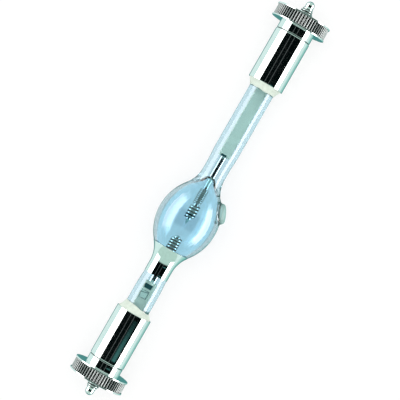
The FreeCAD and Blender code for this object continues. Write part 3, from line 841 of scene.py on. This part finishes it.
def winding(name, rod, thick, turns, start, gap, end):
    """Close turns of round wire on a rod."""
    pitch = thick + gap
    middle = rod + thick / 2 + 0.02
    per_turn = 44
    bm = bmesh.new()
    bmesh.ops.create_circle(bm, cap_ends=False, segments=14, radius=thick / 2)
    bmesh.ops.rotate(bm, verts=bm.verts, cent=(0, 0, 0), matrix=Matrix.Rotation(math.pi / 2, 3, "X"))
    bmesh.ops.translate(bm, verts=bm.verts, vec=(middle, 0, start + thick / 2))
    bmesh.ops.spin(
        bm, geom=bm.edges[:], cent=(0, 0, 0), axis=(0, 0, 1), angle=TURN * turns,
        dvec=(0, 0, pitch / per_turn), steps=per_turn * turns,
    )
    ends = [edge for edge in bm.edges if len(edge.link_faces) == 1]
    bmesh.ops.holes_fill(bm, edges=ends, sides=0)
    bmesh.ops.recalc_face_normals(bm, faces=bm.faces)
    # Painted shade: the wire is marked near black all round except its outer crest, for the shade between its
    # turns and against the rod.
    mark(bm, lambda at: 4.6 - 5 * (at.xy.length - middle) / (thick / 2))
    settle(name, bm, wire(), tip_place(end), 50)


class LAMP_OT_windings(bpy.types.Operator):
    """Wind the head coils and the upper shank coil"""

    bl_idname = "lamp.windings"
    bl_label = "Windings"

    def execute(self, context):
        group = context.scene.lamp_electrodes
        upper, lower, gap = mm(group, "upper_radius lower_radius turn_gap")
        head, shank, low = mm(group, "head_wire shank_wire lower_wire")
        start = mm(group, "upper_point")
        winding("upper_head_coil", upper, head, group.head_turns, start, gap, "upper")
        after = start + group.head_turns * (head + gap) + head + gap
        winding("upper_shank_coil", upper, shank, group.shank_turns, after, gap, "upper")
        winding("lower_head_coil", lower, low, group.lower_turns, mm(group, "lower_point"), gap, "lower")
        return {"FINISHED"}


class LAMP_OT_seals(bpy.types.Operator):
    """Finish the sealed foils, leads and weld tabs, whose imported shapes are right"""

    bl_idname = "lamp.seals"
    bl_label = "Foil seals"

    def execute(self, context):
        foil = metal("molybdenum_ribbon", tinted("foil"), 0.55, ALONG, 2600.0, 0.00001, 0.12, 0.0)
        tab = metal("weld_tab", tinted("tab"), 0.45, EVEN, 2200.0, 0.00003, 0.15, 0.3)
        for end in ENDS:
            repaint(f"{end}_foil", foil)
            repaint(f"{end}_lead_rod", tungsten())
            repaint(f"{end}_weld_tab", tab)
        repaint("lower_patch", patch_finish())
        return {"FINISHED"}


class LAMP_OT_cap_shells(bpy.types.Operator):
    """Turn the two plated cap shells"""

    bl_idname = "lamp.cap_shells"
    bl_label = "Cap shells"

    def execute(self, context):
        caps = context.scene.lamp_caps
        radius, whole, wall, back = mm(caps, "shell_radius shell_length shell_wall shell_end")
        corner, stud = mm(caps, "shell_corner stud_radius")
        hole = stud + 0.05
        inner = radius - wall
        for end in ENDS:
            section = Section(bmesh.new(), inner, 0.12)
            section.line(inner + 0.12, 0).line(radius, 0, rounding=0.12).line(radius, whole - corner, 10)
            section.arc(radius - corner, whole, corner, 8).line(hole, whole, 2, rounding=0.1)
            section.line(hole, whole - back).line(inner, whole - back, rounding=0.2).line(inner, 0.5, 10)
            bm = lathe(section.close(), 128)
            # Painted shadow: a ring of the shell's end face at its rounded corner, under the nut hub's chamfer, is
            # darkened as the shade in the gap between shell and nut.
            joint = (radius - corner - 0.1, radius - corner / 3)
            mark(bm, lambda at: (at.z - whole + 0.12) * 12 * (joint[0] < at.xy.length < joint[1]))
            settle(f"{end}_cap_shell", bm, nickel(), cap_place(end))
        return {"FINISHED"}


class LAMP_OT_cement(bpy.types.Operator):
    """Fill each shell's mouth with cement that ends in a cone on the stem"""

    bl_idname = "lamp.cement"
    bl_label = "Cement"

    def execute(self, context):
        caps = context.scene.lamp_caps
        stem = mm(context.scene.lamp_glass, "stem_radius")
        radius, wall, cone, depth = mm(caps, "shell_radius shell_wall cement_cone cement_depth")
        bore = radius - wall - 0.01
        for end in ENDS:
            section = Section(bmesh.new(), stem + 0.01, -cone)
            section.line(stem + 0.22, -cone + 0.05, 2).line(bore - 0.12, -0.22, 14, rounding=0.1)
            section.line(bore, 0.1, rounding=0.08).line(bore, depth, 4).line(stem + 0.01, depth)
            section.line(stem + 0.01, -cone + 0.2, 6)
            bm = lathe(section.close(), 128)
            lean = 0.1 if end == "upper" else 0.75
            for vert in bm.verts:
                turned = math.atan2(vert.co.y, vert.co.x)
                near = max(0.0, min(1.0, (stem + 1.0 - vert.co.xy.length) / 0.8)) * (vert.co.z < -cone / 2)
                waves = 0.12 * math.sin(3 * turned + 1) + 0.07 * math.sin(7 * turned)
                vert.co.z += near * (lean * math.sin(turned) + waves - 0.35)
            settle(f"{end}_cement", bm, once("ceramic_cement", cement_finish), cap_place(end))
        return {"FINISHED"}


class LAMP_OT_studs(bpy.types.Operator):
    """Turn the studs and cut their threads"""

    bl_idname = "lamp.studs"
    bl_label = "Studs"

    def execute(self, context):
        caps = context.scene.lamp_caps
        nuts = context.scene.lamp_nuts
        whole, back, radius = mm(caps, "shell_length shell_end stud_radius")
        flange_radius, flange, stand, cone = mm(caps, "flange_radius flange stud_stand stud_cone")
        pin, pin_length = mm(caps, "pin_radius pin_length")
        pitch, depth = mm(caps, "thread_pitch thread_depth")
        hub, head = mm(nuts, "hub_length head_length")
        inside = whole - back
        thread_end = whole + hub + head + stand
        pin_start = thread_end + cone
        per_pitch = 12
        for end in ENDS:
            section = Section(bmesh.new(), 0, inside - flange)
            section.line(flange_radius, inside - flange, rounding=0.15)
            section.line(flange_radius, inside, rounding=0.1).line(radius, inside)
            section.line(radius, thread_end, round((thread_end - inside) / pitch * per_pitch))
            section.line(pin, pin_start, 30, rounding=0.15).line(pin, pin_start + pin_length, 2)
            section.arc(0, pin_start + pin_length + pin, pin, 14)
            bm = lathe(section.close(), 72)
            # Painted shade: the thread's roots are marked darker, most at the bottom of each groove.
            root_shade = bm.verts.layers.float.new("crevice")
            for vert in bm.verts:
                spread = vert.co.xy.length
                bare = radius - max(0.0, vert.co.z - thread_end) * (radius - pin) / cone
                if abs(spread - bare) > 1e-3 or not inside + 0.01 < vert.co.z < pin_start - 0.2:
                    continue
                turned = math.atan2(vert.co.y, vert.co.x) / TURN
                phase = (vert.co.z / pitch - turned) % 1.0
                cut = max(0.0, 1 - abs(2 * phase - 1) * 1.12)
                fade = min(1.0, (vert.co.z - inside) / pitch, (pin_start - vert.co.z) / cone)
                vert.co.xy *= 1 - depth * cut * fade / bare
                vert[root_shade] = min(1.0, cut * fade * 1.3)
            settle(f"{end}_stud", bm, nickel(), cap_place(end), 40)
        return {"FINISHED"}


class LAMP_OT_thumb_nuts(bpy.types.Operator):
    """Turn the thumb nuts and cut the grooves of their knurls"""

    bl_idname = "lamp.thumb_nuts"
    bl_label = "Thumb nuts"

    def execute(self, context):
        nuts = context.scene.lamp_nuts
        caps = context.scene.lamp_caps
        start, stud = mm(caps, "shell_length stud_radius")
        hub, hub_length, chamfer, head_length = mm(nuts, "hub_radius hub_length hub_chamfer head_length")
        rim, thick, crest = mm(nuts, "rim_radius rim knurl_radius")
        depth, width = mm(nuts, "knurl_depth knurl_width")
        hole = stud + mm(nuts, "gap")
        head = start + hub_length
        top = head + head_length
        low, high = head + thick, top - thick
        half = width / 2 / crest
        roof = mm(nuts, "knurl_roof")
        period = TURN / nuts.knurl_count
        seat = hub - chamfer - 0.1

        def dull_teeth_and_shade(at):
            """Rougher, darker teeth, painted shade in the grooves, and a painted shadow line where the hub seats
            on the shell.
            """
            spread = at.xy.length
            in_knurl = low - 0.01 < at.z < high + 0.01 and crest - depth - 0.01 < spread < crest + 0.01
            # Painted shade: the deeper in a groove, the darker.
            groove = 20 * max(0, crest - roof - spread - 0.01)
            # Painted shadow: the foot of the hub's chamfer is darkened as the shade of the gap at its seat.
            return in_knurl * (0.3 + groove) + (seat < spread < hub) * max(0, start + 0.1 - at.z) * 10

        for end in ENDS:
            section = Section(bmesh.new(), hole + 0.3, start)
            section.line(hub - chamfer, start).line(hub, start + chamfer, rounding=0.05)
            section.line(hub, head - 0.15, 2).arc(hub + 0.15, head, -0.15, 4)
            section.line(rim, head, 3, rounding=0.14).line(rim, low, rounding=0.12).line(crest, low)
            section.line(crest, high, 4).line(rim, high, rounding=0.12).line(rim, top, rounding=0.14)
            section.line(hole + 0.35, top, 4).line(hole, top - 0.35).line(hole, start + 0.3, 4)
            bm = lathe(section.close(), nuts.knurl_count * 10)
            for vert in bm.verts:
                if abs(vert.co.xy.length - crest) > 1e-3 or not low - 1e-3 < vert.co.z < high + 1e-3:
                    continue
                turned = math.atan2(vert.co.y, vert.co.x)
                off = abs((turned + period / 2) % period - period / 2)
                groove = (depth - roof) * max(0.0, 1 - off / half)
                slope = roof * min(1.0, (period / 2 - off) / (period / 2 - half))
                vert.co.xy *= 1 - (groove + slope) / crest
            mark(bm, dull_teeth_and_shade)
            settle(f"{end}_thumb_nut", bm, nickel(), cap_place(end), 30, f"{end}_nut")
        return {"FINISHED"}


class LAMP_OT_mercury(bpy.types.Operator):
    """Drop the mercury into the bulb's lowest place"""

    bl_idname = "lamp.mercury"
    bl_label = "Mercury"

    def execute(self, context):
        radius = mm(context.scene.lamp_electrodes, "bead_radius")
        low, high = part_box("mercury_bead")
        centre = LAMP.inverted() @ ((low + high) / 2) / MM
        bm = bmesh.new()
        bmesh.ops.create_icosphere(bm, subdivisions=4, radius=radius)
        for vert in bm.verts:
            if vert.co.x > 0:
                vert.co.x *= 0.97
        settle("mercury_bead", bm, liquid_finish(), Matrix.Translation(centre), 60)
        return {"FINISHED"}


# The floor's painted shadow and painted reflection colours, by distance from the lamp's axis, in metres.
SHADOW_UNDER_LAMP = (0.0135, 0.0185)
RIGHT_FADE = (0.018, 0.045)
GLASS_RIM = (0.024, 0.034)
FAR_FADE = (0.09, 0.16)


def make_floor():
    """A pale floor that looks white and keeps the lamp's soft shadow. To polished metal it glows with painted
    colours: a painted shadow under the lamp, teal on the stub's side and pale teal beyond. Through the glass it
    glows white near the lamp, then teal, then dark teal far out, as a painted reflection.
    """
    bm = bmesh.new()
    bmesh.ops.create_grid(bm, x_segments=1, y_segments=1, size=4.0)
    mesh = bpy.data.meshes.new("floor")
    bm.to_mesh(mesh)
    bm.free()
    floor = bpy.data.objects.new("floor", mesh)
    bpy.context.scene.collection.objects.link(floor)
    finish, tree = new_finish("pale_floor")
    colours = bpy.context.scene.lamp_colours
    spot = node(tree, "TexCoord", output="Object")
    side = node(tree, "SeparateXYZ", None, {"Vector": spot}, "Y")
    apart = side.size()
    grain = noise(tree, spot, 40.0, 3.0)
    pale = node(tree, "BsdfDiffuse", None, {"Color": mix(tree, grain, (0.94,) * 3, (0.96,) * 3)})
    # Painted reflection: through the glass the floor glows teal beyond the rim and dark teal far out.
    rim = mix(tree, apart.ramp(*FAR_FADE), tuple(colours.rim), tuple(colours.painted_floor_shade))
    right = mix(tree, (0 - side).ramp(*RIGHT_FADE), tuple(colours.painted_right_reflection), tuple(colours.floor_far))
    open_floor = mix(tree, side.over(0.0), right, tuple(colours.floor_far))
    # Painted shadow and painted reflection: to metal the floor glows dark teal under the lamp, teal on the stub's
    # side and pale teal beyond.
    painted_reflection = glow(tree, mix(tree, apart.ramp(*SHADOW_UNDER_LAMP), tuple(colours.painted_floor_shade), open_floor))
    through = ray_is(tree, "Transmission")
    lit = blend(tree, apart.ramp(*GLASS_RIM) * through, glow(tree, (1, 1, 1, 1)), glow(tree, rim))
    in_metal = blend(tree, ray_is(tree, "Glossy"), pale, painted_reflection)
    seen = blend(tree, 0.74, pale, lit)
    mesh.materials.append(
        close_finish(finish, blend(tree, ray_is(tree, "Camera").higher(through), in_metal, seen))
    )


# The room by direction, in degrees round the lamp from straight above it, and along it from its middle.
RIGHT_SCREEN = (60.5, 63.0)
LEFT_SCREEN = (45.5, 48.0)
DARK_END = (15.0, 20.0)
LOWER_SCREEN_END = (26.0, 34.0)
UPPER_SCREEN_END = (33.0, 41.0)
ROOM_END = (74.0, 82.0)
HORIZON = (84.0, 90.0)


def make_world(stage):
    """White behind the lamp, lit screens beside it and a dark room behind the camera, by direction only."""
    world = bpy.data.worlds.new("studio")
    bpy.context.scene.world = world
    world.use_nodes = True
    tree = world.node_tree
    tree.nodes.clear()
    ray = node(tree, "TexCoord", output="Generated")

    def part(*direction):
        axis = tuple(LAMP.to_3x3() @ Vector(direction))
        return node(tree, "VectorMath", {"operation": "DOT_PRODUCT"}, {0: ray, 1: axis}, "Value")

    front = part(-1, 0, 0)
    side = part(0, -1, 0)
    length_part = part(0, 0, 1)
    around = side.maths("ARCTAN2", side, front) * (360 / TURN)
    ahead = length_part.maths("ARCSINE", length_part) * (360 / TURN)
    below = 0 - ahead
    screens = around.ramp(*RIGHT_SCREEN) + (0 - around).ramp(*LEFT_SCREEN)
    line_left = 1 - (around + 12.3).size().ramp(0.8, 1.6)
    line_right = 1 - (around - 14.0).size().ramp(0.8, 1.6)
    colours = bpy.context.scene.lamp_colours
    dark = mix(tree, (line_left + line_right) * 0.3, tuple(colours.dark), (0.4, 0.45, 0.45))
    door = below.ramp(5.4, 6.6) - below.ramp(8.0, 9.0)
    door = door * (around.ramp(16.0, 30.0) - around.ramp(44.0, 52.0))
    dark = mix(tree, door * 0.55, dark, tuple(colours.deep))
    dark = mix(tree, ahead.size().ramp(*DARK_END), dark, tuple(colours.pale))
    left, right = (scaled(colours.soft, light) for light in (stage.left_light, stage.right_light))
    bright = mix(tree, side.over(0.0), left, right)
    ends = below.ramp(*LOWER_SCREEN_END).higher(ahead.ramp(*UPPER_SCREEN_END))
    wide = mix(tree, screens, dark, mix(tree, ends, bright, tuple(colours.pale)))
    wide = mix(tree, ahead.size().ramp(*ROOM_END), wide, (0.85, 0.9, 0.9))
    through = ray_is(tree, "Transmission")
    limit = mix(tree, side.over(0.0), (2.8,) * 3, (5.2,) * 3)
    dimmed = node(tree, "VectorMath", {"operation": "MINIMUM"}, {0: wide, 1: limit})
    dimmed = mix(tree, around.size().ramp(*HORIZON), dimmed, tuple(colours.horizon))
    plain = mix(tree, ray_is(tree, "Camera"), (stage.soft_light,) * 3, (1.0,) * 3)
    seen = mix(tree, ray_is(tree, "Glossy").higher(through), plain, mix(tree, through, wide, dimmed))
    sky = node(tree, "Background", None, {"Color": seen, "Strength": 1.0})
    output = tree.nodes.new("ShaderNodeOutputWorld")
    tree.links.new(sky.socket, output.inputs["Surface"])


def make_light(stage):
    """A wide lamp overhead for the soft shadow. Polished metal doesn't show it."""
    data = bpy.data.lights.new("overhead", "AREA")
    data.shape = "SQUARE"
    data.size = 0.7
    data.energy = stage.lamp_power
    light = bpy.data.objects.new("overhead", data)
    light.location = (0.05, 0.08, 0.75)
    light.rotation_euler = (Vector((0, 0, 0)) - light.location).to_track_quat("-Z", "Y").to_euler()
    light.visible_glossy = False
    light.visible_transmission = False
    bpy.context.scene.collection.objects.link(light)


def make_camera(stage):
    """The photograph's camera, over the lamp and turned about its line of sight."""
    lean = math.asin(-(LAMP.to_3x3() @ Vector((0, 0, 1))).z)
    back = Vector((math.sin(stage.tilt + lean), 0, math.cos(stage.tilt + lean)))
    axis = LAMP.to_3x3() @ Vector((0, 0, 1))
    ahead = (axis - axis.dot(back) * back).normalized()
    across = (-back).cross(ahead)
    up = math.cos(stage.roll) * ahead - math.sin(stage.roll) * across
    right = math.sin(stage.roll) * ahead + math.cos(stage.roll) * across
    data = bpy.data.cameras.new("camera")
    data.sensor_width = 36.0
    data.lens = data.sensor_width * stage.focal_pixels / PHOTO_PIXELS
    data.clip_start = 0.01
    data.clip_end = 20.0
    camera = bpy.data.objects.new("camera", data)
    spot = LAMP.to_translation() + back * stage.distance + right * stage.right + up * stage.up
    camera.matrix_world = Matrix.Translation(spot) @ Matrix((right, up, back)).transposed().to_4x4()
    bpy.context.scene.collection.objects.link(camera)
    bpy.context.scene.camera = camera


class LAMP_OT_stage(bpy.types.Operator):
    """Set the floor, the studio light and the photograph's camera"""

    bl_idname = "lamp.stage"
    bl_label = "Floor, light and camera"

    def execute(self, context):
        stage = context.scene.lamp_stage
        make_camera(stage)
        make_floor()
        make_world(stage)
        make_light(stage)
        context.scene.view_settings.view_transform = "Standard"
        return {"FINISHED"}


STEPS = (
    LAMP_OT_stage,
    LAMP_OT_quartz,
    LAMP_OT_mirror_coat,
    LAMP_OT_electrode_rods,
    LAMP_OT_windings,
    LAMP_OT_seals,
    LAMP_OT_cap_shells,
    LAMP_OT_cement,
    LAMP_OT_studs,
    LAMP_OT_thumb_nuts,
    LAMP_OT_mercury,
)
GROUPS = {
    "lamp_glass": LampGlass,
    "lamp_electrodes": LampElectrodes,
    "lamp_caps": LampCaps,
    "lamp_nuts": LampNuts,
    "lamp_colours": LampColours,
    "lamp_stage": LampStage,
}


class LAMP_PT_panel(bpy.types.Panel):
    """Lists the lamp's pieces in the order in which they are built"""

    bl_idname = "LAMP_PT_panel"
    bl_label = "Short-arc lamp"
    bl_space_type = "VIEW_3D"
    bl_region_type = "UI"
    bl_category = "Short-arc lamp"

    def draw(self, context):
        for step in STEPS:
            self.layout.operator(step.bl_idname)


def register():
    for kind in (*GROUPS.values(), *STEPS, LAMP_PT_panel):
        bpy.utils.register_class(kind)
    for name, kind in GROUPS.items():
        setattr(bpy.types.Scene, name, PointerProperty(type=kind))


def unregister():
    for name in GROUPS:
        delattr(bpy.types.Scene, name)
    for kind in (LAMP_PT_panel, *reversed(STEPS), *reversed(GROUPS.values())):
        bpy.utils.unregister_class(kind)


def main():
    """Builds everything."""
    register()
    for step in STEPS:
        family, name = step.bl_idname.split(".")
        getattr(getattr(bpy.ops, family), name)()


if __name__ == "__main__":
    main()
